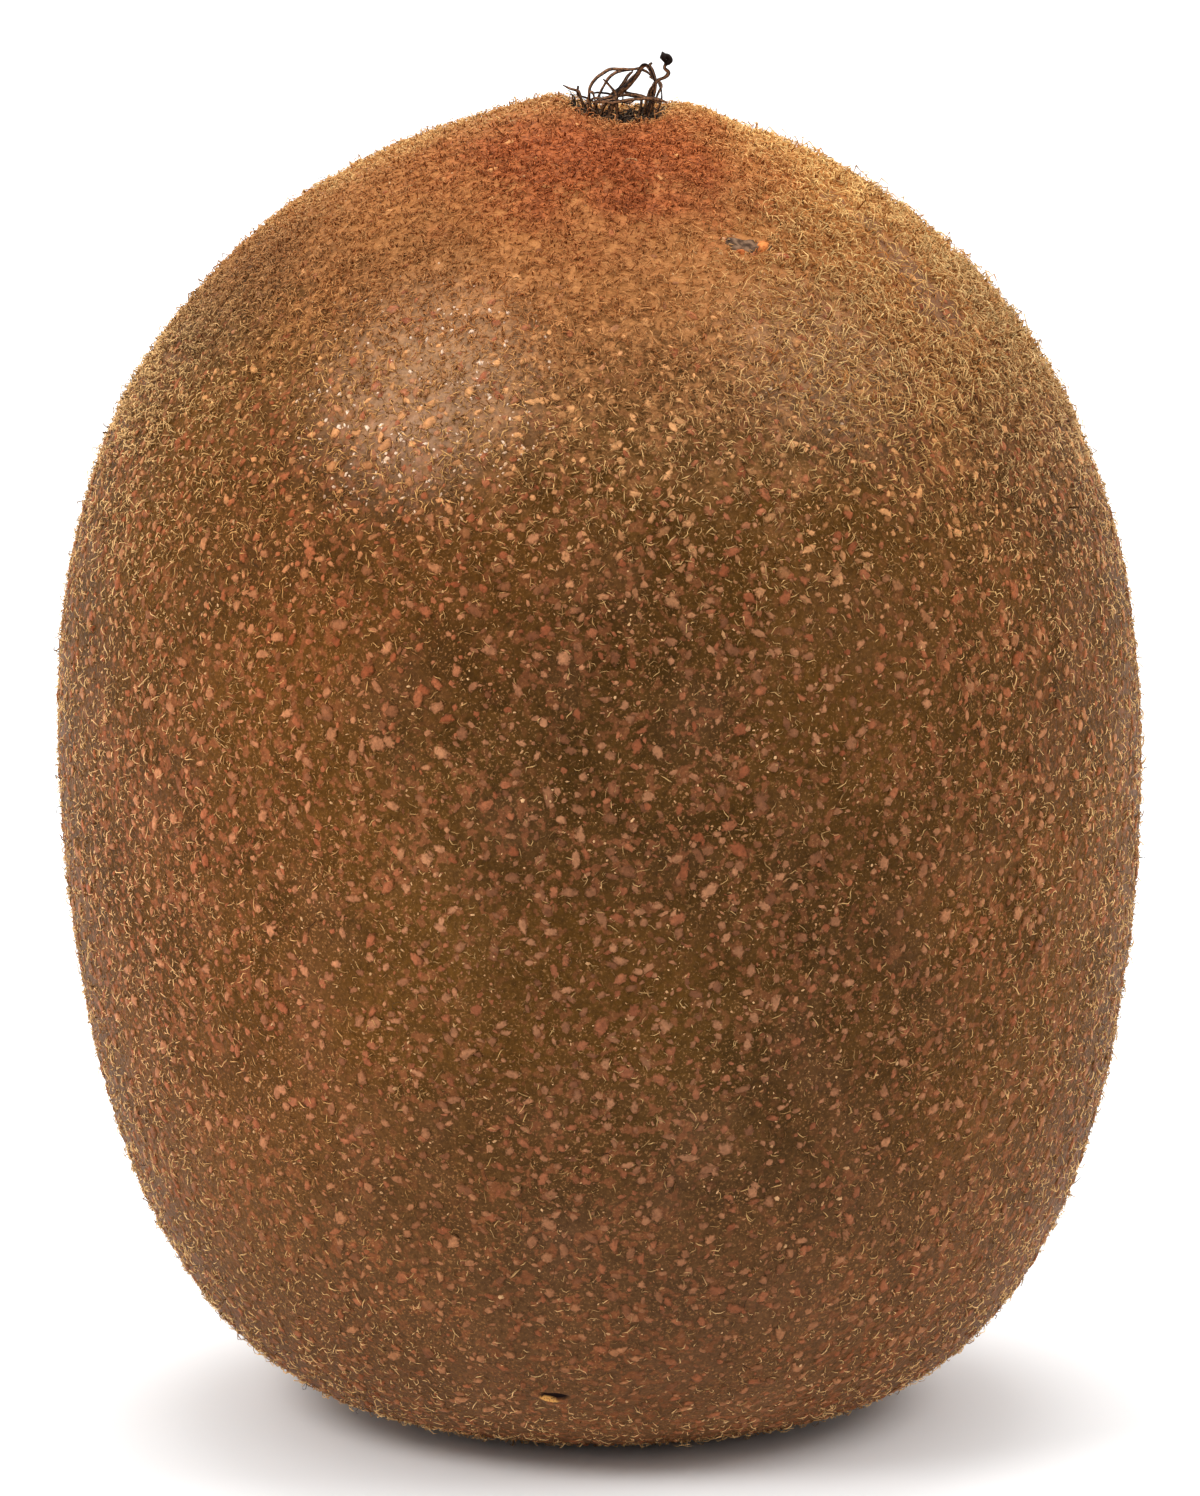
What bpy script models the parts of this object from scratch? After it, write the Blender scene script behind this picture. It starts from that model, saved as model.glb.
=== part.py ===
"""A whole kiwi fruit, standing on its stalk end with its flower end up.

The fruit grew as one piece, so it is one solid: a body of revolution pressed slightly oval, with a flat spot
that it rests on, a dimple with the dry stalk scar under it, and a pit in its crown. In the pit sit the
remains of the flower: a dried tangle and, round it, the dried styles, each a separate curled thread.

Metres, +Z up, -Y to the front. The origin is on the resting surface, under the middle of the fruit.
"""

import math

import bmesh
import bpy
from mathutils import Vector

MM = 0.001

# Body of the fruit
HALF_WIDTH = 27.9 * MM
HALF_DEPTH = 26.5 * MM
WAIST_HEIGHT = 33.8 * MM
CROWN_REACH = 33.95 * MM  # waist to crown, before the pit is pressed in
FOOT_REACH = 34.0 * MM  # waist to foot, before the flat spot cuts it off
CROWN_FLANK, CROWN_DOME = 2.43, 1.82  # how straight the flank stays above the waist, how blunt the crown is
FOOT_FLANK, FOOT_DOME = 1.9, 4.16  # the same for the flank below the waist, and for the foot
LEAN = 0.0134  # sideways shift of the body for each unit of height
SWELL = 0.002  # how far the body's outline wanders from the oval, as a part of its radius

# Pit at the flower end
PIT_CENTRE_X = 1.35 * MM
PIT_FLOOR_HEIGHT = 66.4 * MM
PIT_FLOOR_RADIUS = 1.0 * MM
PIT_RIM_RADIUS = 3.2 * MM
RIM_FADE_RADIUS = 8.5 * MM
RIM_RISE = 0.15 * MM  # mean height of the rim over the plain crown
RIM_SIDE_RISE = 0.35 * MM  # how far the rim's two sides stand over that, and its front and back lie under it
RIM_LEFT_RISE = 0.22 * MM  # how far its left stands over that too, and its right lies under it

# Dimple and stalk scar at the foot
DIMPLE_RADIUS = 4.0 * MM
DIMPLE_DEPTH = 1.2 * MM
SCAR_RADIUS = 1.7 * MM
SCAR_RISE = 0.6 * MM

# Dried styles and tangle
STYLE_RADIUS = 0.075 * MM
ROOT_RING_RADIUS = 1.5 * MM
ROOT_CLEARANCE = 0.35 * MM
TUFT_LEVEL = 67.55 * MM  # height that the styles' points are measured from
TANGLE_RADIUS = 1.05 * MM
TANGLE_THICKNESS = 0.5 * MM
TANGLE_CLEARANCE = 0.3 * MM

# Fineness of the meshes
TURN_STEPS = 60
PIT_RINGS = 12
SIDE_RINGS = 30
SCAR_RINGS = 8

# Each style: the bearing of its root round the pit in degrees from +X, how thick it is against STYLE_RADIUS,
# and the points that it curls through, in millimetres from the middle of the pit at TUFT_LEVEL.
STYLES = (
    (198, 1.0, (
        (-1.48, -0.50, 0.67), (-1.36, -0.50, 1.24), (-0.90, -0.50, 1.73), (-0.29, -0.50, 2.00),
        (0.32, -0.50, 2.04), (0.78, -0.50, 1.98),
    )),
    (160, 0.9, (
        (-0.98, 0.00, 0.51), (-0.67, 0.00, 1.18), (-0.29, 0.00, 1.64), (0.17, 0.00, 1.84), (0.60, -0.05, 1.87),
    )),
    (144, 0.9, ((-0.45, 0.45, 0.45), (0.10, 0.45, 0.92), (0.48, 0.45, 1.50), (0.74, 0.45, 1.76))),
    (240, 1.9, (
        (-0.14, -1.10, 0.63), (0.32, -1.05, 1.08), (0.93, -1.10, 1.76), (1.24, -1.15, 2.26),
        (1.47, -1.20, 2.29), (1.70, -1.20, 1.90), (1.85, -1.15, 1.50),
    )),
    (270, 1.1, ((-0.07, -1.70, 0.60), (-0.14, -1.62, 0.98), (-0.49, -1.55, 1.34), (-0.74, -1.50, 1.62))),
    (328, 1.0, (
        (1.75, -0.60, 0.40), (1.90, -0.60, 1.30), (1.75, -0.60, 1.95), (1.62, -0.60, 2.22),
        (1.74, -0.60, 2.34),
    )),
    (14, 1.2, (
        (1.62, 0.35, 0.10), (1.72, 0.35, 0.68), (1.95, 0.35, 1.28), (2.39, 0.35, 1.50), (2.57, 0.35, 1.72),
        (2.38, 0.35, 1.94), (2.46, 0.35, 2.15), (2.66, 0.35, 2.32), (2.54, 0.35, 2.52),
    )),
    (346, 1.0, ((2.14, -0.12, 0.12), (2.22, -0.12, 0.81), (2.02, -0.12, 1.30))),
    (217, 1.1, (
        (-1.12, -1.65, 0.40), (-0.25, -2.16, 0.52), (0.63, -2.18, 0.68), (1.46, -1.80, 0.70),
        (2.00, -1.50, 0.62), (2.50, -1.15, 0.40),
    )),
    (180, 0.8, ((-1.90, 0.05, 0.55), (-2.05, 0.05, 0.81), (-2.42, 0.05, 0.96), (-2.78, 0.05, 1.10))),
    (52, 0.9, ((1.20, 1.40, 0.20), (0.60, 1.45, 0.50), (-0.30, 1.30, 0.66))),
    (92, 0.9, ((-0.20, 1.75, 0.20), (-0.90, 1.70, 0.50), (-1.35, 1.62, 0.45))),
    (122, 0.9, ((-1.25, 1.25, 0.10), (-2.00, 0.80, 0.50), (-2.05, 0.45, 1.00))),
    (34, 1.0, ((2.00, 0.88, 0.40), (2.20, 1.10, 1.00), (1.60, 1.20, 1.40))),
)
KNOBBED_STYLE = 6
KNOB_POINT = (2.30, 0.35, 2.50)
KNOB_SWELLING = 2.6


def smooth_step(value, low, high):
    """0 up to low, 1 from high, and a smooth S between them."""
    part = min(1.0, max(0.0, (value - low) / (high - low)))
    return part * part * (3.0 - 2.0 * part)


def flank_radius(height):
    """Radius of the plain body at a height: half_width * (1 - (distance from waist / reach)^flank)^(1 / dome)."""
    above = height > WAIST_HEIGHT
    reach = CROWN_REACH if above else FOOT_REACH
    flank, dome = (CROWN_FLANK, CROWN_DOME) if above else (FOOT_FLANK, FOOT_DOME)
    return HALF_WIDTH * (1.0 - (abs(height - WAIST_HEIGHT) / reach) ** flank) ** (1.0 / dome)


def crown_height(radius):
    """Height of the plain crown at a distance from its middle, which is flank_radius turned round."""
    return WAIST_HEIGHT + CROWN_REACH * (1.0 - (radius / HALF_WIDTH) ** CROWN_DOME) ** (1.0 / CROWN_FLANK)


def pit_height(radius, bearing):
    """Height of the skin in and round the pit: the crown, a rim higher at its sides, and the pit pressed in."""
    rim = RIM_RISE + RIM_SIDE_RISE * math.cos(2 * bearing) - RIM_LEFT_RISE * math.cos(bearing)
    height = crown_height(radius) + rim * (1.0 - smooth_step(radius, PIT_RIM_RADIUS, RIM_FADE_RADIUS))
    filled = smooth_step(radius, PIT_FLOOR_RADIUS, PIT_RIM_RADIUS)
    return PIT_FLOOR_HEIGHT + (height - PIT_FLOOR_HEIGHT) * filled


def foot_height(radius):
    """Height of the skin under the fruit: flat, then up into the dimple, with the stalk scar standing down in it."""
    dimple = DIMPLE_DEPTH * (1.0 - smooth_step(radius, SCAR_RADIUS, DIMPLE_RADIUS))
    return dimple - SCAR_RISE * (1.0 - smooth_step(radius, 0.6 * SCAR_RADIUS, SCAR_RADIUS))


def fruit_profile():
    """Radius and height of each ring, from the middle of the crown down the side to the middle of the foot.

    The rings of the side follow a cosine in height, so that they crowd towards its two ends.
    """
    top = crown_height(RIM_FADE_RADIUS)
    crown = [RIM_FADE_RADIUS * ring / PIT_RINGS for ring in range(PIT_RINGS)]
    sides = [top * (1.0 + math.cos(math.pi * ring / SIDE_RINGS)) / 2 for ring in range(SIDE_RINGS + 1)]
    foot = [DIMPLE_RADIUS * (1.0 - ring / SCAR_RINGS) for ring in range(SCAR_RINGS + 1)]
    rings = [(radius, crown_height(radius)) for radius in crown]
    rings += [(flank_radius(height), height) for height in sides]
    rings += [(radius, foot_height(radius)) for radius in foot]
    return rings


def grow(point):
    """Turns a point of the round body into one of the grown fruit: oval, leaning, a little uneven, with its pit."""
    radius = math.hypot(point.x, point.y)
    bearing = math.atan2(point.y, point.x)
    if point.z > WAIST_HEIGHT and radius < RIM_FADE_RADIUS:
        point.z = pit_height(radius, bearing)
    wander = math.sin(3 * bearing + 1.1) * math.cos(math.pi * point.z / (2 * WAIST_HEIGHT))
    widened = 1.0 + SWELL * wander * smooth_step(radius, DIMPLE_RADIUS, HALF_WIDTH)
    oval = 1.0 - (1.0 - HALF_DEPTH / HALF_WIDTH) * smooth_step(radius, DIMPLE_RADIUS, HALF_WIDTH / 2)
    on_crown = smooth_step(point.z, WAIST_HEIGHT, WAIST_HEIGHT + CROWN_REACH)
    pit_shift = PIT_CENTRE_X * on_crown * (1.0 - smooth_step(radius, PIT_RIM_RADIUS, RIM_FADE_RADIUS))
    lean_shift = LEAN * (WAIST_HEIGHT - point.z)
    point.x = point.x * widened + lean_shift + pit_shift
    point.y = point.y * widened * oval


def material(name, colour, roughness):
    made = bpy.data.materials.new(name)
    made.use_nodes = True
    shader = made.node_tree.nodes["Principled BSDF"]
    shader.inputs["Base Color"].default_value = (*colour, 1.0)
    shader.inputs["Roughness"].default_value = roughness
    shader.inputs["Metallic"].default_value = 0.0
    return made


def link(name, data, finish):
    data.materials.append(finish)
    made = bpy.data.objects.new(name, data)
    bpy.context.scene.collection.objects.link(made)
    return made


def add_fruit():
    """Spins the profile once round, closes it on the axis, and lets it grow out of round."""
    body = bmesh.new()
    rings = [body.verts.new((radius, 0.0, height)) for radius, height in fruit_profile()]
    edges = [body.edges.new(pair) for pair in zip(rings, rings[1:])]
    bmesh.ops.spin(
        body, geom=rings + edges, axis=(0, 0, 1), cent=(0, 0, 0),
        angle=2 * math.pi, steps=TURN_STEPS, use_merge=True,
    )
    bmesh.ops.remove_doubles(body, verts=body.verts, dist=0.001 * MM)
    for vert in body.verts:
        grow(vert.co)
    bmesh.ops.recalc_face_normals(body, faces=body.faces)
    mesh = bpy.data.meshes.new("fruit")
    body.to_mesh(mesh)
    body.free()
    mesh.shade_smooth()
    return link("fruit", mesh, material("fuzzy_skin", (0.19, 0.085, 0.035), 0.85))


def add_tangle(finish):
    """A flat cushion of dried threads over the floor of the pit: a squashed ball with rounded edges."""
    lump = bmesh.new()
    bmesh.ops.create_uvsphere(lump, u_segments=24, v_segments=12, radius=TANGLE_RADIUS)
    bmesh.ops.scale(lump, vec=(1.0, 1.0, TANGLE_THICKNESS / (2 * TANGLE_RADIUS)), verts=lump.verts)
    height = PIT_FLOOR_HEIGHT + TANGLE_CLEARANCE + TANGLE_THICKNESS / 2
    bmesh.ops.translate(lump, vec=(pit_middle(), 0.0, height), verts=lump.verts)
    mesh = bpy.data.meshes.new("pit_tangle")
    lump.to_mesh(mesh)
    lump.free()
    mesh.shade_smooth()
    return link("pit_tangle", mesh, finish)


def pit_middle():
    """Where the middle of the pit lies along X: its own shift, and the lean of the whole fruit at that height."""
    return PIT_CENTRE_X + LEAN * (WAIST_HEIGHT - PIT_FLOOR_HEIGHT)


def add_style(number, bearing, thickness, curl, finish):
    """A thread on a smooth curve from its root in the pit through the points of its curl, with closed ends."""
    root_bearing = math.radians(bearing)
    root_height = pit_height(ROOT_RING_RADIUS, root_bearing) + ROOT_CLEARANCE
    middle = Vector((pit_middle(), 0.0, 0.0))
    root = middle + Vector((math.cos(root_bearing), math.sin(root_bearing), 0.0)) * ROOT_RING_RADIUS
    root.z = root_height
    points = [root] + [middle + Vector(place) * MM + Vector((0, 0, TUFT_LEVEL)) for place in curl]
    swellings = [thickness] * len(points)
    if number == KNOBBED_STYLE:
        points.append(middle + Vector(KNOB_POINT) * MM + Vector((0, 0, TUFT_LEVEL)))
        swellings.append(KNOB_SWELLING)
    curve = bpy.data.curves.new(f"style_{number + 1:02d}", "CURVE")
    curve.dimensions = "3D"
    curve.bevel_depth = STYLE_RADIUS
    curve.bevel_resolution = 2
    curve.resolution_u = 4
    curve.use_fill_caps = True
    thread = curve.splines.new("BEZIER")
    thread.bezier_points.add(len(points) - 1)
    for knot, place, swelling in zip(thread.bezier_points, points, swellings):
        knot.co = place
        knot.radius = swelling
        knot.handle_left_type = knot.handle_right_type = "AUTO"
    return link(curve.name, curve, finish)


def main():
    for old in list(bpy.data.objects):
        bpy.data.objects.remove(old, do_unlink=True)
    add_fruit()
    add_tangle(material("dried_tangle", (0.05, 0.032, 0.022), 0.9))
    dried = material("dried_style", (0.075, 0.035, 0.018), 0.7)
    for number, (bearing, thickness, curl) in enumerate(STYLES):
        add_style(number, bearing, thickness, curl, dried)


main()
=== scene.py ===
"""A whole kiwi fruit: skin with scurfy pads and fuzz, a felted crown, dried flower parts in its pit, and the
stalk scar under it, on a white table in soft studio light."""

import math

import bpy
import numpy as np
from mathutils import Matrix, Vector


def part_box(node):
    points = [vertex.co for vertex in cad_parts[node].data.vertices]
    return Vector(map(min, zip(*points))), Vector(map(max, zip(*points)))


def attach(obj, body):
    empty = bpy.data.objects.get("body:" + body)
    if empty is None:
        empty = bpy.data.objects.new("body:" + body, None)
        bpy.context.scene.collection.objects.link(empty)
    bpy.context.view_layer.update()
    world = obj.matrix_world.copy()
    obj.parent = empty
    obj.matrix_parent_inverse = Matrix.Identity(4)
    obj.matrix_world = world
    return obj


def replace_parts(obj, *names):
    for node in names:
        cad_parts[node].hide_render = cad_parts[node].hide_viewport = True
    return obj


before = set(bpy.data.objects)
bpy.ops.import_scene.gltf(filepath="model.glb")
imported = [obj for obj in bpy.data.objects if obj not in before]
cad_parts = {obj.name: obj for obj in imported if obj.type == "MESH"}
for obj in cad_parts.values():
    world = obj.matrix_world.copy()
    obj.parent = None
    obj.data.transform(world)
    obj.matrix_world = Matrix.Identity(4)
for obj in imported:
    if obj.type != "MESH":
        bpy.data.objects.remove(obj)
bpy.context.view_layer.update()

MM = 0.001


def mm(*values):
    """Millimetres in metres."""
    return tuple(value * MM for value in values)


BODY = "root"
BAKE_MAP = "OFBake"

# The fruit's own measures, from the solid's box
FRUIT_LOW, FRUIT_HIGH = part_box("fruit")
HALF_WIDTH = (FRUIT_HIGH.x - FRUIT_LOW.x) / 2
HALF_DEPTH = (FRUIT_HIGH.y - FRUIT_LOW.y) / 2
HEIGHT = FRUIT_HIGH.z
WAIST = 0.4961 * HEIGHT
CROWN_REACH = 0.4983 * HEIGHT
FOOT_REACH = 0.4990 * HEIGHT
CROWN_FLANK, CROWN_DOME = 2.43, 1.82
FOOT_FLANK, FOOT_DOME = 1.9, 4.16
LEAN = 0.0134
SWELL = 0.002
OUTLINE_STEPS = 3000  # on the crown, and as many on the flank and under the foot

# The pit, its rim, and the dimple at the foot
PIT_SHIFT, PIT_FLOOR, PIT_FLOOR_RADIUS, PIT_RIM_RADIUS = mm(1.35, 66.4, 1.0, 3.2)
RIM_FADE, RIM_RISE, RIM_SIDE_RISE, RIM_LEFT_RISE = mm(8.5, 0.15, 0.35, 0.22)
DIMPLE_RADIUS, DIMPLE_DEPTH, SCAR_RADIUS, SCAR_RISE = mm(4.0, 1.2, 1.7, 0.6)
PIT_X = PIT_SHIFT + LEAN * (WAIST - PIT_FLOOR)
FOOT_X = LEAN * WAIST

# Fuzz and felt
FELT_DEPTH = 0.20 * MM  # how far the skin lies under the outside of the felt on the crown
FUZZ_DEPTH = 0.10 * MM  # the same on the flanks
FELT_LOW, FELT_HIGH = mm(52.5, 59.5)  # the felt thins out between these heights
FELT_TILT = 0.12  # how much higher than at the middle the felt counts, for each metre to the right


# --- shapes

def smooth_step(value, low, high):
    """0 up to low, 1 from high, and a smooth S between; the other way round where low is above high."""
    part = np.clip((value - low) / (high - low), 0.0, 1.0)
    return part * part * (3.0 - 2.0 * part)


def span(value, low, high):
    """smooth_step with its ends in millimetres."""
    return smooth_step(value, low * MM, high * MM)


def norm(vectors):
    """The vectors' lengths."""
    return np.linalg.norm(vectors, axis=-1)


def unit(vectors):
    """The vectors made 1 long."""
    return vectors / norm(vectors)[..., None]


def turns(count):
    """The angles of that many corners, spread evenly round a circle."""
    return 2 * np.pi * np.arange(count) / count


def cloud(points, cell, seed):
    """Soft noise from -1 to 1: random numbers on a cubic lattice of side cell, blended by smooth steps."""
    lattice = np.random.default_rng(seed).uniform(-1, 1, (32, 32, 32))
    scaled = points / cell + 400.0
    corner = np.floor(scaled).astype(int)
    part = smooth_step(scaled - corner, 0.0, 1.0)
    total = np.zeros(points.shape[:-1])
    for step in np.ndindex(2, 2, 2):
        weight = np.prod(np.where(step, part, 1.0 - part), axis=-1)
        at = (corner + step) % 32
        total += weight * lattice[at[..., 0], at[..., 1], at[..., 2]]
    return total


def flank_radius(height):
    """Half width at a height: half_width * (1 - (distance from waist / reach)^flank)^(1 / dome)."""
    above = height > WAIST
    reach = np.where(above, CROWN_REACH, FOOT_REACH)
    flank, dome = np.where(above, CROWN_FLANK, FOOT_FLANK), np.where(above, CROWN_DOME, FOOT_DOME)
    return HALF_WIDTH * (1.0 - (np.abs(height - WAIST) / reach) ** flank) ** (1.0 / dome)


def crown_height(radius):
    """Height of the plain crown at a radius, which is flank_radius turned round."""
    return WAIST + CROWN_REACH * (1.0 - (radius / HALF_WIDTH) ** CROWN_DOME) ** (1.0 / CROWN_FLANK)


def foot_height(radius):
    """Height under the fruit: flat, then up into the dimple, with the stalk scar standing down in it."""
    dimple = DIMPLE_DEPTH * (1.0 - smooth_step(radius, SCAR_RADIUS, DIMPLE_RADIUS))
    return dimple - SCAR_RISE * (1.0 - smooth_step(radius, 0.6 * SCAR_RADIUS, SCAR_RADIUS))


def outline():
    """Radius, height and length so far along the fruit's outline, from the pit's middle to the foot's.

    On the crown the radius runs out evenly, on the flank the height falls by a cosine, and under the foot the
    radius runs in evenly.
    """
    crown = np.linspace(0.0, RIM_FADE, OUTLINE_STEPS)
    flank = crown_height(RIM_FADE) * (1.0 + np.cos(np.linspace(0.0, np.pi, OUTLINE_STEPS))) / 2
    foot = np.linspace(flank_radius(np.array(0.0)), 0.0, OUTLINE_STEPS)
    radius = np.concatenate([crown, flank_radius(flank), foot])
    height = np.concatenate([crown_height(crown), flank, foot_height(foot)])
    length = np.concatenate([[0.0], np.cumsum(np.hypot(np.diff(radius), np.diff(height)))])
    return radius, height, length


OUTLINE_RADIUS, OUTLINE_HEIGHT, OUTLINE_LENGTH = outline()
WHOLE_LENGTH = OUTLINE_LENGTH[-1]


def radius_at(share):
    """The outline's radius at a share of the way down it."""
    return np.interp(share * WHOLE_LENGTH, OUTLINE_LENGTH, OUTLINE_RADIUS)


def plain_skin(bearing, share):
    """The point of the fruit's outside at a bearing and a share of the way down its outline.

    A circle of the outline's radius at its height, with the pit pressed in and its saddle-shaped rim raised,
    widened by three low waves, pressed oval towards the waist, and leaning to one side.
    """
    share = np.clip(share, 0.0, 1.0)
    radius = radius_at(share)
    height = np.interp(share * WHOLE_LENGTH, OUTLINE_LENGTH, OUTLINE_HEIGHT)
    rim = RIM_RISE + RIM_SIDE_RISE * np.cos(2 * bearing) - RIM_LEFT_RISE * np.cos(bearing)
    raised = height + rim * (1.0 - smooth_step(radius, PIT_RIM_RADIUS, RIM_FADE))
    filled = smooth_step(radius, PIT_FLOOR_RADIUS, PIT_RIM_RADIUS)
    on_crown = (height > WAIST) & (radius < RIM_FADE)
    height = np.where(on_crown, PIT_FLOOR + (raised - PIT_FLOOR) * filled, height)
    wander = SWELL * np.sin(3 * bearing + 1.1) * np.cos(np.pi * height / (2 * WAIST))
    widened = radius * (1.0 + wander * smooth_step(radius, DIMPLE_RADIUS, HALF_WIDTH))
    oval = 1.0 - (1.0 - HALF_DEPTH / HALF_WIDTH) * smooth_step(radius, DIMPLE_RADIUS, HALF_WIDTH / 2)
    pit_part = smooth_step(height, WAIST, WAIST + CROWN_REACH)
    shift = PIT_SHIFT * pit_part * (1.0 - smooth_step(radius, PIT_RIM_RADIUS, RIM_FADE))
    east = widened * np.cos(bearing) + shift + LEAN * (WAIST - height)
    return np.stack([east, widened * np.sin(bearing) * oval, height], axis=-1)


def skin_and_normal(bearing, share):
    """The skin under the fuzz, with its low lumps, and the way out of it, for arrays of places."""
    step = 1e-3
    around = plain_skin(bearing + step, share) - plain_skin(bearing - step, share)
    down = plain_skin(bearing, share + step) - plain_skin(bearing, share - step)
    crossed = np.cross(down, around)
    normal = crossed / np.maximum(norm(crossed), 1e-15)[..., None]
    point = plain_skin(bearing, share)
    height = point[..., 2]
    cover = FUZZ_DEPTH + (FELT_DEPTH - FUZZ_DEPTH) * smooth_step(height, FELT_LOW, FELT_HIGH)
    lumps = 0.05 * MM * cloud(point, 3.1 * MM, 11) + 0.03 * MM * cloud(point, 1.1 * MM, 12)
    return point + normal * ((lumps - cover) * span(height, 0.6, 4))[..., None], normal


# --- meshes

def placed(name, data):
    """A new object in the scene."""
    thing = bpy.data.objects.new(name, data)
    bpy.context.scene.collection.objects.link(thing)
    return thing


def build(name, points, faces, finish, slot, spots=None, **numbers):
    """A smooth mesh piece that rides on the fruit.

    points is an array of places, faces a list of arrays of corner numbers, spots the corners' places on the
    map that the finish can be painted on, and numbers named values, one for each point.
    """
    mesh = bpy.data.meshes.new(name)
    corners = np.concatenate([group.ravel() for group in faces])
    sizes = np.concatenate([np.full(len(group), group.shape[1]) for group in faces])
    mesh.vertices.add(len(points))
    mesh.vertices.foreach_set("co", points.astype(np.float32).ravel())
    mesh.loops.add(len(corners))
    mesh.loops.foreach_set("vertex_index", corners.astype(np.int32))
    mesh.polygons.add(len(sizes))
    mesh.polygons.foreach_set("loop_start", (np.cumsum(sizes) - sizes).astype(np.int32))
    mesh.update(calc_edges=True)
    mesh.shade_smooth()
    for label, values in numbers.items():
        mesh.attributes.new(label, "FLOAT", "POINT").data.foreach_set("value", values.astype(np.float32))
    if spots is not None:
        mesh.uv_layers.new(name=BAKE_MAP).uv.foreach_set("vector", spots.astype(np.float32).ravel())
    mesh.materials.append(finish.material)
    piece = placed(name, mesh)
    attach(piece, BODY)
    return piece


def closed_grid(rings, first, last):
    """A surface of rings of points, closed at each end on one point: its points, faces and map places.

    Squares join each ring to the next, and a fan of triangles joins each end ring to its end point.
    """
    rows, columns = rings.shape[:2]
    row, column = np.indices((rows - 1, columns)).reshape(2, -1)
    here, after = row * columns + column, row * columns + (column + 1) % columns
    squares = np.stack([here, here + columns, after + columns, after], axis=1)
    across = np.stack([column, column, column + 1, column + 1], axis=1) / columns
    down = np.stack([row, row + 1, row + 1, row], axis=1)
    here = np.arange(columns)
    after = (here + 1) % columns
    end, base = rows * columns, (rows - 1) * columns
    top = np.stack([0 * here + end, here, after], axis=1)
    bottom = np.stack([0 * here + end + 1, base + after, base + here], axis=1)
    fan_across = np.stack([here + 0.5, here, here + 1], axis=1) / columns
    fan_down = np.tile([0.0, 1.0, 1.0], (columns, 1)) / (rows + 1)
    spots = np.concatenate([np.stack(pair, axis=-1).reshape(-1, 2) for pair in (
        (across, (down + 1) / (rows + 1)), (fan_across, fan_down), (fan_across[:, [0, 2, 1]], 1 - fan_down),
    )])
    return np.vstack([rings.reshape(-1, 3), first, last]), [squares, top, bottom], spots


def copies(shape_faces, points_each, count):
    """The faces of count copies of a small shape whose points follow each other."""
    return (np.arange(count)[:, None, None] * points_each + shape_faces).reshape(-1, shape_faces.shape[1])


def cells(shape_spots, count):
    """Map places of count copies of a small shape, each in its own square cell with a margin."""
    side = math.ceil(math.sqrt(count))
    cell = np.stack([np.arange(count) % side, np.arange(count) // side], axis=1)
    return ((cell[:, None] + 0.1 + 0.8 * shape_spots[None]) / side).reshape(-1, 2)


def disc(rings, corners):
    """For a disc of rings: each ring's part of the radius, the corners' angles, and the flat map places of
    all its points, the two ends of a closed grid last."""
    part = (np.arange(1, rings + 1) / rings)[:, None]
    angle = turns(corners)
    flat = np.stack([part * np.cos(angle), part * np.sin(angle)], axis=-1).reshape(-1, 2)
    return part, angle, 0.5 + 0.48 * np.concatenate([flat, np.zeros((2, 2))])


def flat_spots(flat, faces):
    """The map places of the faces' corners."""
    return np.concatenate([flat[group.ravel()] for group in faces])


# --- shader maths

class Signal:
    """A number, colour or vector in a node tree. Arithmetic on a number adds Math nodes."""

    def __init__(self, nodes, socket):
        self.nodes, self.socket = nodes, socket

    def _math(self, operation, first, second):
        return self.nodes.add("ShaderNodeMath", {"operation": operation}, {0: first, 1: second})

    def __add__(self, other):
        return self._math("ADD", self, other)

    def __sub__(self, other):
        return self._math("SUBTRACT", self, other)

    def __rsub__(self, other):
        return self._math("SUBTRACT", other, self)

    def __mul__(self, other):
        return self._math("MULTIPLY", self, other)

    __radd__ = __add__
    __rmul__ = __mul__

    def step(self, low, high, start=0.0, end=1.0):
        """start up to low, end from high, smooth between; the other way round if low is above high."""
        settings = {"interpolation_type": "SMOOTHSTEP"}
        return self.nodes.add("ShaderNodeMapRange", settings, {0: self, 1: low, 2: high, 3: start, 4: end})

    def span(self, low, high):
        """The same for a length in metres, from 0 to 1, with the ends in millimetres."""
        return self.step(low * MM, high * MM)


class Nodes:
    """A node tree being made."""

    def __init__(self, tree):
        self.tree = tree

    def add(self, kind, settings=None, inputs=None, output=0):
        """Adds a node of that type, sets its settings and then its inputs, and returns an output."""
        node = self.tree.nodes.new(kind)
        for name, value in (settings or {}).items():
            setattr(node, name, value)
        for name, value in (inputs or {}).items():
            self.feed(node.inputs[name], value)
        return Signal(self, node.outputs[output])

    def feed(self, socket, value):
        if isinstance(value, Signal):
            self.tree.links.new(value.socket, socket)
        else:
            socket.default_value = value


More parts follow.
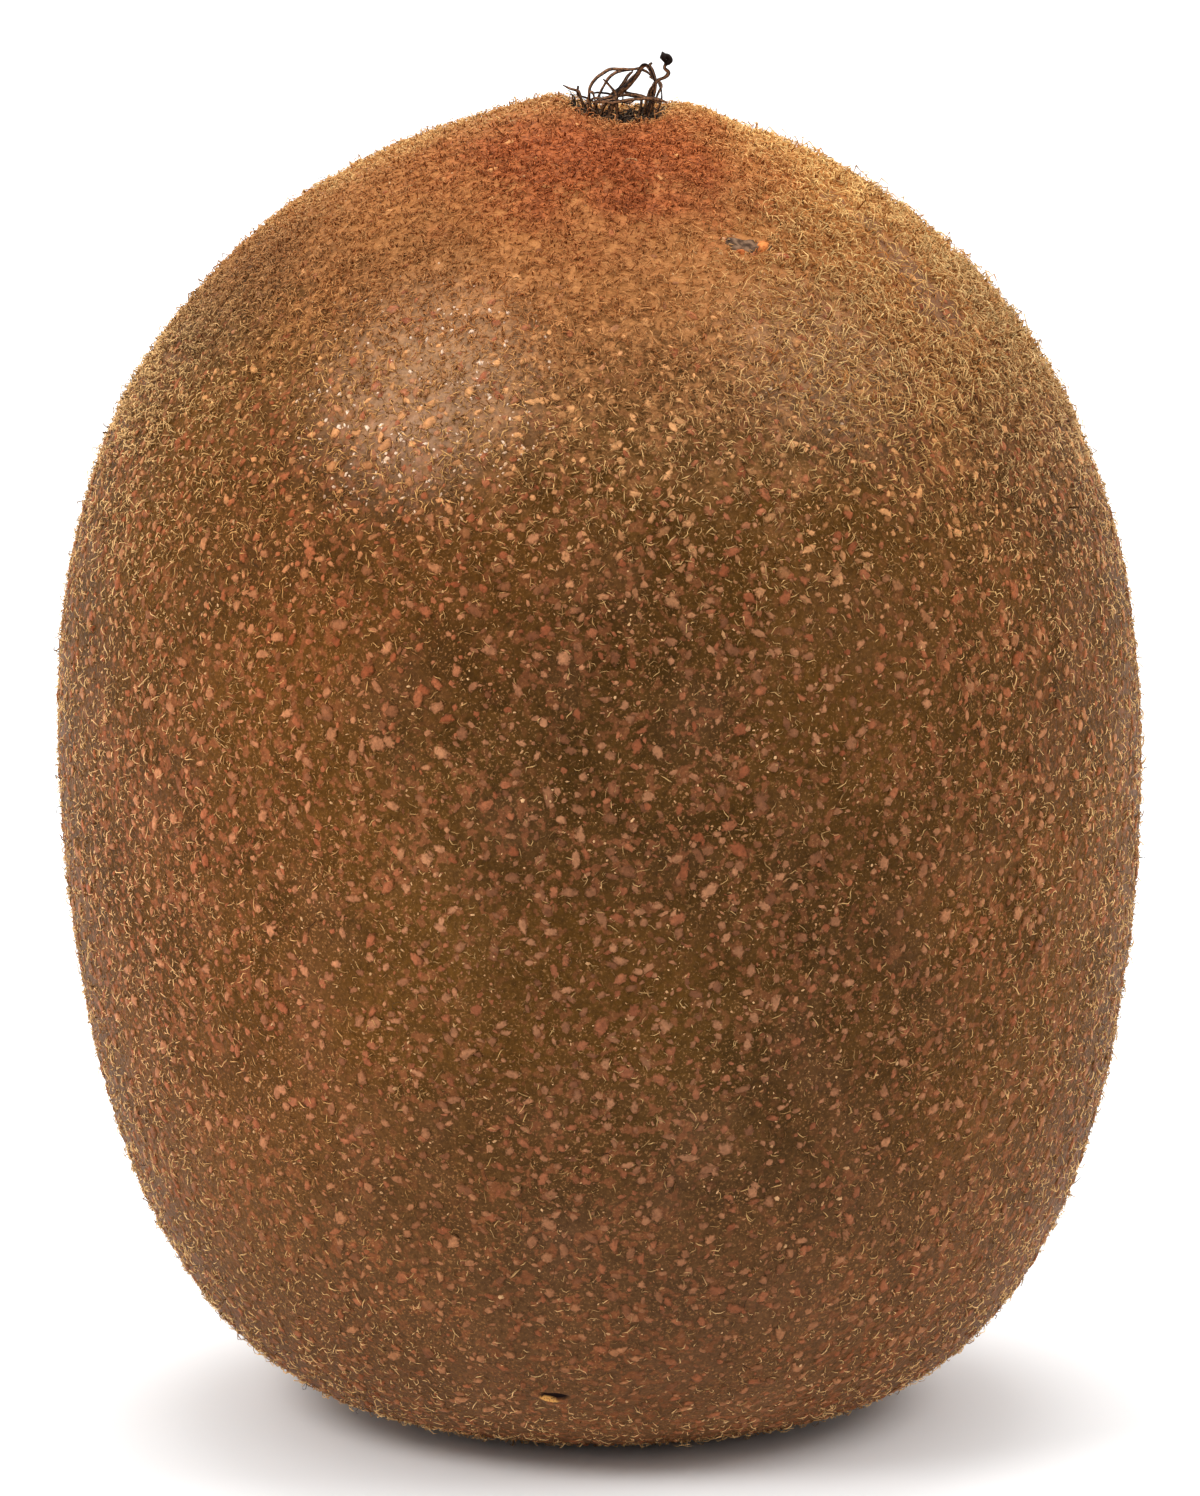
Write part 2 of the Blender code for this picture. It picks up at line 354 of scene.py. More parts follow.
class Finish(Nodes):
    """A material being made: its shader, and the place of a point on the fruit."""

    def __init__(self, name, roughness, specular=0.5):
        self.material = bpy.data.materials.new(name)
        self.material.use_nodes = True
        super().__init__(self.material.node_tree)
        self.shader = self.tree.nodes["Principled BSDF"]
        self.feed_shader(Roughness=roughness, Specular_IOR_Level=specular)
        self.place = self.add("ShaderNodeTexCoord", output="Object")

    def value(self, attribute):
        """A number that the mesh carries for each point."""
        return self.add("ShaderNodeAttribute", {"attribute_name": attribute}, output="Fac")

    def vectors(self, operation, first, second):
        """Arithmetic on two vectors or colours."""
        return self.add("ShaderNodeVectorMath", {"operation": operation}, {0: first, 1: second})

    def noise(self, size, detail=2.0, shift=0.0):
        """Soft noise round 0.5 with lumps of about that many millimetres."""
        moved = self.vectors("ADD", self.place, (shift, shift, shift))
        inputs = {"Vector": moved, "Scale": 1.0 / (size * MM), "Detail": detail}
        return self.add("ShaderNodeTexNoise", {}, inputs)

    def mix(self, first, second, factor):
        """The first colour where the factor is 0, and the second where it is 1. Both can be screen values."""
        first, second = (part if isinstance(part, Signal) else colour(*part) for part in (first, second))
        return self.add("ShaderNodeMix", {"data_type": "RGBA"}, {0: factor, 6: first, 7: second}, output=2)

    def scaled(self, paint, factor):
        """A colour made darker or lighter by a factor."""
        grey = self.add("ShaderNodeCombineXYZ", {}, {0: factor, 1: factor, 2: factor})
        return self.vectors("MULTIPLY", paint, grey)

    def distance(self, centre, stretch=(1.0, 1.0, 1.0)):
        """Distance from a point, in metres, with each direction stretched."""
        apart = self.vectors("MULTIPLY", self.vectors("SUBTRACT", self.place, centre), stretch)
        return self.add("ShaderNodeVectorMath", {"operation": "LENGTH"}, {0: apart}, output="Value")

    def part(self, letter):
        """The place's X, Y or Z: across to the right, back, or up."""
        return self.add("ShaderNodeSeparateXYZ", {}, {0: self.place}, output=letter)

    def behind(self):
        """0 at the front and 1 at the back, changing raggedly just before the middle."""
        return (self.part("Y") + (self.noise(2.6, 3.0, 0.7) - 0.5) * (9 * MM)).span(-6, 2)

    def over(self, paint, *layers):
        """Colours laid over a colour one after another, each a pair of a colour and the part it covers."""
        for layer, part in layers:
            paint = self.mix(paint, layer, part)
        return paint

    def feed_shader(self, **sockets):
        """Sets the shader's inputs, with a _ for each space in their names."""
        for name, value in sockets.items():
            self.feed(self.shader.inputs[name.replace("_", " ")], value)

    def paint(self, paint):
        self.feed_shader(Base_Color=paint)

    def bump(self, relief, depth):
        """Raises the surface by relief, a number from 0 to 1, times depth in metres."""
        raised = self.add("ShaderNodeBump", {}, {"Height": relief, "Distance": depth, "Strength": 1.0})
        self.feed_shader(Normal=raised)


def colour(red, green, blue):
    """A colour from its 0 to 255 screen values."""
    parts = np.array([red, green, blue]) / 255
    linear = np.where(parts <= 0.04045, parts / 12.92, ((parts + 0.055) / 1.055) ** 2.4)
    return (*[float(part) for part in linear], 1.0)


# --- finishes

PIT_PLACE = (PIT_X, 0.0, PIT_FLOOR)
RUST_PLACE = (PIT_X - 1 * MM, -6 * MM, PIT_FLOOR)  # the reddest felt, in front of the pit
# The two sheens on the shoulders: the coat is glossy there, and the colour is painted paler as a painted
# sheen
SHEEN_LEFT, SHEEN_RIGHT = mm(-8.6, -18.4, 56.6), mm(10.6, -16.0, 57.8)
# Large soft differences, partly the fruit's own tone and partly painted light and shade: middle and radius in
# millimetres, stretch, and what the colour is multiplied by
TONE_AND_LIGHT_TINTS = (
    ((4, -25, 33), 22, (1.0, 0.4, 0.62), (0.81, 0.865, 0.99)),
    ((-19, -17, 29), 15, (1.0, 0.7, 0.8), (1.18, 1.13, 1.22)),
    ((1, -19, 55.5), 12, (0.6, 0.8, 1.3), (1.14, 1.18, 1.24)),
    ((-18, -6, 60), 9, (1.0, 1.0, 1.0), (0.82, 0.87, 0.96)),
    ((-11, -22, 48), 13, (0.8, 0.7, 1.2), (1.04, 0.97, 0.94)),
    ((9, -2, 67), 8, (1.0, 0.7, 1.0), (1.18, 1.20, 1.15)),
    ((12.5, -14, 59), 6.5, (1.0, 1.0, 1.0), (0.94, 0.95, 1.0)),
    ((22, -6, 54), 9.5, (1.0, 0.8, 0.6), (0.87, 0.89, 0.96)),
    ((-9.5, -12, 62), 5.5, (1.0, 1.0, 1.0), (0.91, 0.93, 0.96)),
    ((-10, -24, 29), 7, (1.0, 0.5, 0.9), (1.12, 1.14, 1.14)),
    ((-9, -25, 37), 5.5, (1.0, 0.5, 0.8), (1.09, 1.10, 1.11)),
    ((3, -25, 47), 6, (0.7, 0.5, 1.0), (0.94, 0.93, 0.92)),
    ((24, -8, 31), 7, (1.0, 1.0, 0.7), (1.11, 1.13, 1.14)),
    ((5, -26, 24), 5.5, (1.0, 0.5, 0.9), (1.10, 1.13, 1.14)),
    # painted light: much lighter round the foot, against the shade there
    ((0.0, 0.0, -6), 13, (0.0, 0.0, 1.0), (1.50, 1.57, 1.66)),
)
# Bare greyish places down the right of the crown: middle and radius
BARE_PLACES = tuple((mm(*middle), radius * MM) for middle, radius in (
    ((11.9, -5.0, 63.8), 0.9), ((13.6, -5.7, 62.6), 1.0), ((15.2, -7.1, 60.9), 1.7), ((17.0, -8.6, 58.8), 2.1)
))


def tone_and_light_tinted(finish, paint):
    """A colour with the fruit's large soft differences: duller down the front, warmer at the left, and much
    lighter round the foot, partly the fruit's tone and partly painted light and shade.
    """
    wander = (finish.noise(6, 2.0, 0.8) - 0.5) * (9 * MM)
    for middle, radius, stretch, tint in TONE_AND_LIGHT_TINTS:
        reach = radius * MM
        part = (finish.distance(mm(*middle), stretch) + wander).step(reach, 0.3 * reach)
        paint = finish.mix(paint, finish.vectors("MULTIPLY", paint, tint), part)
    return paint


def felt_height(finish):
    """The height that decides how felty the skin is: the felt reaches a little lower at the right."""
    return finish.part("Z") + finish.part("X") * FELT_TILT


def skin_paint(finish):
    """The skin's colour: olive brown with warmer and mauve patches, salmon scurf worn flat and golden specks,
    turning raggedly to the felt's colours on the crown. Painted light is in it too: paler and greyer towards
    the bottom as a painted reflection of the table, painted shade in the felt's gaps, in the pit and in the
    dimple, and a painted sheen on the shoulders."""
    worn = finish.noise(0.55, 3.0, 0.6).step(0.52, 0.60) * finish.noise(7, 2.0, 0.2).step(0.25, 0.60)
    paint = finish.over(
        (70, 44, 12),
        ((82, 52, 18), finish.noise(2.6, 3.0).step(0.40, 0.60)),
        ((96, 62, 36), finish.noise(5.5, 3.0, 0.3).step(0.45, 0.75) * 0.6),
        ((102, 64, 20), finish.noise(14, 1.0, 0.9).step(0.40, 0.70) * 0.4),
        # painted reflection of the white table: paler and greyer towards the bottom
        ((108, 74, 50), finish.part("Z").span(26, 3) * 0.55),
        ((136, 78, 46), worn * 0.65),
    )
    fine = finish.noise(0.24, 2.0)
    threads = finish.noise(0.13, 2.0, 0.4)
    patches = finish.noise(3.5, 2.0, 0.7).step(0.35, 0.65)
    tufts = threads.step(0.36, 0.64) * 0.4 + finish.noise(0.5, 3.0, 0.1).step(0.42, 0.58) * 0.6
    # The felt painted as tan tufts over dark gaps, the gaps a painted shade deep in the felt; the rust in
    # front of the pit is painted the same way
    painted_gap_shade = finish.mix((76, 46, 20), (150, 95, 49), felt_height(finish).span(57, 63))
    ragged = (finish.noise(2.0, 3.0, 0.5) - 0.5) * (16 * MM)
    paint = finish.over(
        finish.scaled(paint, 0.40 + fine * 1.16),
        ((168, 116, 68), threads.step(0.56, 0.68) * (0.25 + patches * 0.35)),
        (
            finish.mix(painted_gap_shade, (176, 117, 67), tufts),
            (felt_height(finish) + ragged).step(FELT_LOW - 2 * MM, FELT_HIGH + 2 * MM),
        ),
        (
            finish.mix((104, 50, 22), (176, 98, 54), tufts),
            (finish.distance(RUST_PLACE) + ragged).span(11, 3) * (1.0 - finish.behind() * 0.6),
        ),
    )
    for middle, radius in BARE_PLACES:
        greyish = (finish.distance(middle) + ragged * 0.06).step(radius * 1.3, radius * 0.7)
        paint = finish.mix(paint, (104, 76, 58), greyish * (0.35 + fine * 0.6))
    near_sheen = finish.distance(SHEEN_LEFT).span(7.5, 2) + finish.distance(SHEEN_RIGHT).span(6, 2) * 0.7
    paint = finish.over(
        paint,
        # painted sheen: paler tan, finely broken, on the two shoulder sheens
        ((170, 128, 90), near_sheen * (0.15 + fine * 0.7)),
        # painted shade: darker in the pit
        ((50, 34, 20), finish.distance(PIT_PLACE).span(3.2, 1.6)),
        # painted shade: darker in the dimple under the fruit
        ((58, 36, 20), finish.distance((FOOT_X, 0.0, 0.6 * MM)).span(3.6, 1.8) * 0.8),
    )
    return tone_and_light_tinted(finish, paint), fine


def wax(finish, gloss=0.37, roughness=0.4):
    """A wax-like gloss, broken up finely, on two patches of the shoulders: left and right of the front."""
    left, right = finish.distance(SHEEN_LEFT).span(10, 2), finish.distance(SHEEN_RIGHT).span(9, 2)
    broken = finish.noise(0.3, 3.0, 0.9).step(0.25, 0.70)
    finish.feed_shader(Coat_Roughness=roughness, Coat_Weight=(left + right * 0.6) * (broken * gloss))


def skin_finish():
    """The bare skin, with a fine grain and low pads raised on it."""
    finish = Finish("fruit_skin", 0.5, 0.04)
    paint, fine = skin_paint(finish)
    finish.paint(paint)
    finish.bump(fine * 0.5 + finish.noise(0.62, 3.0, 0.6) * 0.5, 0.22 * MM)
    wax(finish)
    return finish


def scurf_finish():
    """Scurf: salmon to rust on top, golden towards the crown, fading raggedly into the skin at the edge."""
    finish = Finish("scurf", 0.5, 0.05)
    skin, fine = skin_paint(finish)
    tone, hue = finish.value("tone"), finish.value("hue")
    golden = finish.mix((140, 90, 48), (216, 152, 94), tone)
    top = finish.over(
        (114, 67, 39),
        ((177, 118, 77), tone),
        ((150, 75, 41), hue.step(0.70, 0.80) * 0.6),
        ((128, 84, 58), finish.part("Z").span(38, 20) * 0.25),
        (golden, felt_height(finish).span(44, 55) * hue.step(0.66, 0.46)),
    )
    top = tone_and_light_tinted(finish, finish.scaled(top, 0.45 + fine * 1.1))
    ragged = finish.noise(0.14, 1.0, 0.5) - 0.5
    finish.paint(finish.mix(skin, top, (finish.value("rise") + ragged * 1.1).step(0.0, 0.55)))
    finish.bump(fine, 0.16 * MM)
    wax(finish)
    return finish


def pale_fleck_finish():
    """Pale flecks: tan to cream, and glossy near the sheens, where they are painted nearly white as glints.
    """
    finish = Finish("pale_flecks", 0.5, 0.08)
    near_sheen = finish.distance(SHEEN_LEFT).span(9, 5) + finish.distance(SHEEN_RIGHT).span(7, 3) * 0.7
    finish.paint(finish.over(
        (140, 92, 52),
        ((214, 168, 120), finish.value("tone")),
        ((236, 206, 178), near_sheen * finish.value("hue").step(0.1, 0.5)),
    ))
    wax(finish, 1.0, 0.2)
    return finish


def stray_finish():
    """Stray hairs: dark brown, a few of them tan."""
    finish = Finish("stray_hairs", 0.5, 0.08)
    finish.paint(finish.mix((52, 34, 20), (190, 150, 100), finish.value("tone").step(0.6, 0.9)))
    return finish


def fuzz_finish():
    """Hairs: rust round the pit, golden tan over the crown and paler tan below, each hair in its own tone.
    Painted light too: paler at the left and right sides and low down, golden over the back of the crown as a
    painted rim light, and each hair darker towards its root as painted shade.
    """
    finish = Finish("fuzz", 0.5, 0.08)
    tone, across = finish.value("tone"), finish.part("X")
    sides = (across * across).step((15 * MM) ** 2, (25 * MM) ** 2)
    rust = finish.mix((137, 63, 29), (210, 119, 66), tone)
    golden = finish.mix((192, 122, 60), (250, 208, 138), tone)
    high = finish.mix((166, 99, 50), (212, 149, 90), tone)
    felty = felt_height(finish).step(FELT_LOW, FELT_HIGH)
    patches = (finish.noise(3.0, 2.0) - 0.5) * (8 * MM)
    hair = finish.over(
        (120, 76, 36),
        ((234, 182, 112), tone),
        # painted light: paler at the left and right sides and low down
        ((255, 208, 144), (sides + finish.part("Z").span(17, 5)) * tone),
        (finish.mix(high, golden, across.span(0.0, 14)), felty),
        (rust, (finish.distance(RUST_PLACE) + patches).span(12, 3)),
        # painted rim light: golden over the back of the crown
        (golden, finish.behind() * felt_height(finish).span(56, 62) * 0.8),
    )
    # painted shade: each hair darker towards its root, less so in the felt
    shade = 0.6 + felty * 0.14 + finish.value("along") * (0.6 - felty * 0.28)
    finish.paint(tone_and_light_tinted(finish, finish.scaled(hair, shade)))
    return finish


def speckled_finish(name, dark, light, size, shift=0.0, low=0.4, high=0.6):
    """A dull colour that goes from dark to light in specks of about that many millimetres."""
    finish = Finish(name, 0.5, 0.05)
    finish.paint(finish.mix(dark, light, finish.noise(size, 2.0, shift).step(low, high)))
    return finish


def dried_finish(name, dark, light, shift):
    """Dried plant thread: paler streaks and flecks along the flat sides of a dark thread."""
    finish = Finish(name, 0.55, 0.1)
    streaks = finish.noise(0.12, 3.0, shift)
    finish.paint(finish.mix(dark, light, (streaks + finish.value("ridge") * 0.4).step(0.62, 1.1)))
    return finish


# --- pieces

def make_skin(finish):
    """The skin: rings round the fruit at even steps down its outline, closed in the pit and at the foot."""
    rows, columns = 210, 340
    share = (np.arange(rows) + 1.0) / (rows + 1.0)
    rings, _ = skin_and_normal(turns(columns)[None] + 0 * share[:, None], share[:, None] + np.zeros(columns))
    points, faces, spots = closed_grid(rings, rings[0].mean(axis=0), rings[-1].mean(axis=0))
    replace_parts(build("skin", points, faces, finish, "skin", spots), "fruit")


FIRST_SHARE, LAST_SHARE = 0.004, 0.996  # nothing stands nearer to the ends of the outline


def scatter(count, density, rng, even=False):
    """Bearings and shares of places on the fruit, spread by area times density, which depends on height.

    The share is where a running sum of radius times density reaches a random part, or an even one. Even
    places turn by the golden angle from one to the next, and are nudged a little.
    """
    share = OUTLINE_LENGTH / WHOLE_LENGTH
    weight = OUTLINE_RADIUS * density(OUTLINE_HEIGHT, OUTLINE_RADIUS)
    total = np.concatenate([[0.0], np.cumsum((weight[1:] + weight[:-1]) / 2 * np.diff(share))])
    if even:
        part = (np.arange(count) + 0.5) / count
        bearing = np.arange(count) * np.pi * (3.0 - math.sqrt(5.0)) + rng.normal(0, 0.012, count)
        at = np.interp(part * total[-1], total, share) + rng.normal(0, 0.0022, count)
        return bearing % (2 * np.pi), np.clip(at, FIRST_SHARE, LAST_SHARE)
    at = np.interp(rng.uniform(0, total[-1], count), total, share)
    return rng.uniform(0, 2 * np.pi, count), np.clip(at, FIRST_SHARE, LAST_SHARE)


def off_foot(height, radius):
    """0 on the flat spot that the fruit rests on and on the stalk scar, and 1 elsewhere."""
    return ((height > 0.3 * MM) & ((height > 2 * DIMPLE_DEPTH) | (radius > 1.15 * SCAR_RADIUS))) * 1.0


def surface_ways(normal):
    """Two directions along the surface at each place: round the fruit, and up it."""
    around = unit(np.cross((0.0, 0.0, 1.0), normal) + 1e-9)
    return around, np.cross(normal, around)


def make_mounds(name, bearing, share, finish, rng, sizes, longest, steepness, sides, rings):
    """Low mounds on the skin: each a top point, rings of corners round it, and a point under the skin.

    sizes is one radius for each mound, longest the greatest length over width, steepness the range of height
    over radius, sides a ring's corners, and rings pairs of a ring's part of the radius and of the height.
    Corners vary in radius, and the last ring dips just under the skin. "rise" falls from 1 at the top to 0 at
    the last ring.
    """
    root, normal = skin_and_normal(bearing, share)
    clear = off_marks(root, rng, 0.0)
    root, normal, sizes = root[clear], normal[clear], sizes[clear]
    around, up = surface_ways(normal)
    count = len(sizes)
    longer = rng.uniform(1.0, longest, count)
    turn = rng.uniform(0, np.pi, count)
    angle = turns(sides) + rng.uniform(0, 1, (count, 1))
    reach = sizes[:, None] * (1 + 0.32 * rng.uniform(-1, 1, (count, sides)))
    x = reach * np.cos(angle) * np.sqrt(longer)[:, None]
    y = reach * np.sin(angle) / np.sqrt(longer)[:, None]
    along = x * np.cos(turn)[:, None] - y * np.sin(turn)[:, None]
    across = x * np.sin(turn)[:, None] + y * np.cos(turn)[:, None]
    flat = along[..., None] * around[:, None] + across[..., None] * up[:, None]
    lift = (sizes * rng.uniform(*steepness, count))[:, None, None] * normal[:, None]
    skirt = 0.03 * MM * normal[:, None]
    layers = [root[:, None] + lift]
    rises, spots = [[1.0]], [[[0.5, 0.5]]]
    circle = np.stack([np.cos(turns(sides)), np.sin(turns(sides))], axis=1)
    for part, height in rings:
        layers.append(root[:, None] + part * flat + height * lift - (part == 1.0) * skirt)
        rises.append(np.full(sides, 1.0 - part))
        spots.append(0.5 + 0.5 * part * circle)
    layers.append(root[:, None] - 2.5 * skirt)
    rises.append([0.0])
    spots.append([[0.5, 0.5]])
    points = np.concatenate(layers, axis=1)
    points[..., 2] = np.maximum(points[..., 2], 0.0)
    here = 1 + np.arange(sides)
    after = 1 + here % sides
    shape = [(0 * here, here, after)]
    for _ in rings[1:]:
        outer, beyond = here + sides, after + sides
        shape += [(here, outer, beyond), (here, beyond, after)]
        here, after = outer, beyond
    shape.append((0 * here + 1 + len(rings) * sides, after, here))
    shape = np.concatenate([np.stack(corners, axis=1) for corners in shape])
    each = points.shape[1]
    build(
        name, points.reshape(-1, 3), [copies(shape, each, count)], finish, "skin",
        cells(np.concatenate(spots)[shape.ravel()], count), rise=np.tile(np.concatenate(rises), count),
        tone=np.repeat(rng.random(count), each), hue=np.repeat(rng.random(count), each),
    )


def beside(bearing, share, reach, rng):
    """Places at a distance from given ones, in any direction."""
    turn = rng.uniform(0, 2 * np.pi, len(bearing))
    there = bearing + reach * np.cos(turn) / np.maximum(radius_at(share), 2 * MM)
    return there, np.clip(share + reach * np.sin(turn) / WHOLE_LENGTH, FIRST_SHARE, LAST_SHARE)


PAD_COUNT, CRUMB_COUNT, FLECK_COUNT = 13000, 6000, 12000  # crumbs in each of two pieces
PAD_RADIUS, FLECK_RADIUS = mm(0.238, 0.075)  # the middling ones
ONE_RING = ((1.0, 0.0),)


def make_scurf(finish):
    """Scurfy pads with two rings each, fewer under the felt, and crumbs with one ring beside them."""
    rng = np.random.default_rng(21)

    def density(height, radius):
        felty = smooth_step(height, FELT_LOW + 4 * MM, FELT_HIGH + 3 * MM)
        return (1.0 + 0.5 * span(height, 42, 50) - 1.38 * felty) * off_foot(height, radius)

    bearing, share = scatter(PAD_COUNT, density, rng, even=True)
    root, _ = skin_and_normal(bearing, share)
    spread = np.clip(rng.normal(0, 0.34, PAD_COUNT), -0.8, 0.62) + 0.15 * cloud(root, 6 * MM, 24)
    sizes = PAD_RADIUS * np.exp(spread) * (1.0 - 0.12 * span(root[:, 2], 45, 56))
    half = PAD_COUNT // 2
    for name, own in (("pads_upper", slice(0, half)), ("pads_lower", slice(half, None))):
        shape = (2.0, (0.16, 0.32), 6, ((0.62, 0.66), (1.0, 0.0)))
        make_mounds(name, bearing[own], share[own], finish, rng, sizes[own], *shape)
    for number in (1, 2):
        near = rng.permutation(PAD_COUNT)[:CRUMB_COUNT]
        away = sizes[near] * rng.uniform(0.8, 2.6, CRUMB_COUNT)
        there, down = beside(bearing[near], share[near], away, rng)
        crumbs = sizes[near] * rng.uniform(0.3, 0.7, CRUMB_COUNT)
        make_mounds(f"crumbs_{number}", there, down, finish, rng, crumbs, 2.6, (0.25, 0.55), 5, ONE_RING)


def make_flecks(finish):
    """Flecks: tiny pale mounds with one ring, all over the skin, in loose clusters."""
    rng = np.random.default_rng(23)

    def density(height, radius):
        return (1.0 - 0.7 * smooth_step(height, FELT_LOW, FELT_HIGH)) * off_foot(height, radius)

    tried = 3 * FLECK_COUNT
    bearing, share = scatter(tried, density, rng)
    root, _ = skin_and_normal(bearing, share)
    # Near the left sheen more and larger flecks are chosen, to be painted nearly white there as glints
    near_sheen = span(norm(root - SHEEN_LEFT), 9, 4)
    order = np.argsort(rng.uniform(-1, 1, tried) - 0.9 * cloud(root, 0.9 * MM, 23) - 1.4 * near_sheen)
    chosen = order[:FLECK_COUNT]
    sizes = FLECK_RADIUS * np.exp(rng.normal(0, 0.3, FLECK_COUNT)) * (1 + 0.6 * near_sheen[chosen])
    shape = (2.6, (0.4, 0.8), 5, ONE_RING)
    make_mounds("pale_flecks", bearing[chosen], share[chosen], finish, rng, sizes, *shape)


def patch_place(bearing, height, turn, along=np.zeros(1), across=np.zeros(1)):
    """Skin and normal at offsets in metres from a place on the flank, along a direction turned by turn and
    across it."""
    flank = slice(2 * OUTLINE_STEPS)
    share = np.interp(-height, -OUTLINE_HEIGHT[flank], OUTLINE_LENGTH[flank]) / WHOLE_LENGTH
    east = along * math.cos(turn) - across * math.sin(turn)
    up = along * math.sin(turn) + across * math.cos(turn)
    return skin_and_normal(math.radians(bearing) + east / radius_at(share), share - up / WHOLE_LENGTH)


def make_patch(name, place, relief, finish, seed, **numbers):
    """A ragged patch on the skin: rings from its middle out, raised by relief, the last one under the skin.

    place is a mark. relief and the functions in numbers take places along and across it in metres.
    """
    rng = np.random.default_rng(seed)
    bearing, height, half_long, half_wide, turn = place
    part, angle, flat = disc(rings=18, corners=48)
    wobble = 1.0 + sum(0.1 * np.sin(wave * angle + rng.uniform(0, 6)) for wave in (2, 3, 5, 7))
    along = half_long * part * wobble * np.cos(angle)
    across = half_wide * part * wobble * np.sin(angle)
    root, normal = patch_place(bearing, height, turn, along, across)
    raised = relief(along, across) * (1 - part ** 4) - 0.04 * MM * part ** 8
    (middle,), (upward,) = patch_place(bearing, height, turn)
    top = middle + upward * relief(0.0, 0.0)
    points, faces, _ = closed_grid(root + normal * raised[..., None], top, middle - upward * 0.1 * MM)
    values = {
        label: np.append(function(along, across).ravel(), [function(0.0, 0.0), 0.0])
        for label, function in numbers.items()
    }
    build(name, points, faces, finish, "skin", flat_spots(flat, faces), **values)


def hair_points(root, normal, length, width, lift, curl, sections, rng, longer=1.0):
    """Points of curling hairs: three-sided tubes that thin out to a point.

    length and width, in millimetres, and lift are ranges, and curl is a spread. A hair goes from its root in
    even sections. Each rises from the surface by an angle that runs from lift to a droop at the tip. Its
    heading along the surface starts anywhere, turns by curl from end to end, and strays a little in each one.
    """
    count = len(root)
    length = rng.uniform(*length, count) * MM * longer
    width = rng.uniform(*width, count) * MM
    lift = rng.uniform(*lift, count)
    curl = rng.normal(0, curl, count)
    around, up = surface_ways(normal)
    heading = rng.uniform(0, 2 * np.pi, count)
    place = root - normal * (0.5 * width)[:, None]
    rows = []
    for section in range(sections):
        part = section / (sections - 1)
        rise = lift * (1 - part) - 0.35 * part + rng.normal(0, 0.2, count)
        way = heading + curl * (part - 0.5) + rng.normal(0, 0.45, count)
        along = around * np.cos(way)[:, None] + up * np.sin(way)[:, None]
        forward = along * np.cos(rise)[:, None] + normal * np.sin(rise)[:, None]
        side = unit(np.cross(forward, normal))
        above = np.cross(side, forward)
        thick = (0.5 * width * (1 - 0.5 * section / sections))[:, None]
        rows += [place + thick * (math.cos(angle) * above + math.sin(angle) * side) for angle in turns(3)]
        place = place + forward * (length / sections)[:, None]
    return np.stack([*rows, place], axis=1)


def hair_shape(sections):
    """Faces, map places and places along the hair for one hair of hair_points."""
    faces, spots = [[0, 2, 1]], [[0.0, 0.0], [0.66, 0.0], [0.33, 0.0]]
    for section, corner in np.ndindex(sections, 3):
        here, after, above = 3 * section + corner, 3 * section + (corner + 1) % 3, 3 * section + 3
        left, right, low, high = corner / 3, (corner + 1) / 3, section / sections, (section + 1) / sections
        if section == sections - 1:
            faces.append([here, after, above])
            spots += [[left, low], [right, low], [(left + right) / 2, 1.0]]
        else:
            faces += [[here, after, after + 3], [here, after + 3, here + 3]]
            spots += [[left, low], [right, low], [right, high], [left, low], [right, high], [left, high]]
    along = np.append(np.repeat(np.arange(sections) / sections, 3), 1.0)
    return np.array(faces), np.array(spots), along


def build_hairs(name, points, sections, finish, slot, label, **numbers):
    """One piece of hair_points' hairs. The number called label runs from 0 at the roots to 1 at the tips."""
    count, each = points.shape[:2]
    faces, spots, along = hair_shape(sections)
    faces, numbers[label] = [copies(faces, each, count)], np.tile(along, count)
    return build(name, points.reshape(-1, 3), faces, finish, slot, cells(spots, count), **numbers)


def make_hairs(name, root, normal, finish, rng, *shape, longer=1.0):
    """Hairs on the skin. shape is their length, width, lift, curl and sections, as in hair_points."""
    points = hair_points(root, normal, *shape, rng, longer)
    points[..., 2] = np.maximum(points[..., 2], 0.0)
    tone = np.repeat(rng.random(len(root)), points.shape[1])
    build_hairs(name, points, shape[-1], finish, "skin", "along", tone=tone)


def thinned(root, normal, patchiness, rng, seed):
    """Leaves out roots where soft noise is low, so that the hairs stand in patches."""
    noise = cloud(root, 1.3 * MM, seed) * 0.5 + cloud(root, 4.5 * MM, seed + 1) * 0.5
    kept = rng.uniform(-1, 1, len(root)) * (1 - patchiness) + noise * patchiness * 2 > -0.35
    return root[kept], normal[kept]


def hairiness(root):
    """From a little in the bald patch at the middle of the front, to 1 away from it."""
    apart = (root - (0.05 * HALF_WIDTH, -HALF_DEPTH, 0.42 * HEIGHT)) * (1.0, 0.6, 0.5)
    return 0.32 + 0.68 * span(norm(apart), 8, 26)


def bareness(root):
    """1 in the middle of the bare places on the crown, and 0 away from them."""
    return np.max([
        smooth_step(norm(root - middle), 1.4 * radius, 0.7 * radius) for middle, radius in BARE_PLACES
    ], axis=0)


def off_marks(root, rng, kept_part=0.10):
    """True for the roots that stand clear of the marks, and for a part of the others."""
    kept = rng.random(len(root)) < kept_part
    apart = np.ones(len(root), bool)
    for bearing, height, half_long, half_wide, turn in BARE_MARKS:
        middle, normal = patch_place(bearing, height, turn)
        (around,), (up,) = surface_ways(normal)
        offset = root - middle
        east, north = offset @ around, offset @ up
        along = east * math.cos(turn) + north * math.sin(turn)
        across = north * math.cos(turn) - east * math.sin(turn)
        inside = (along / half_long) ** 2 + (across / half_wide) ** 2 < 1.0
        apart &= ~(inside & (norm(offset) < 4 * MM))
    return apart | kept


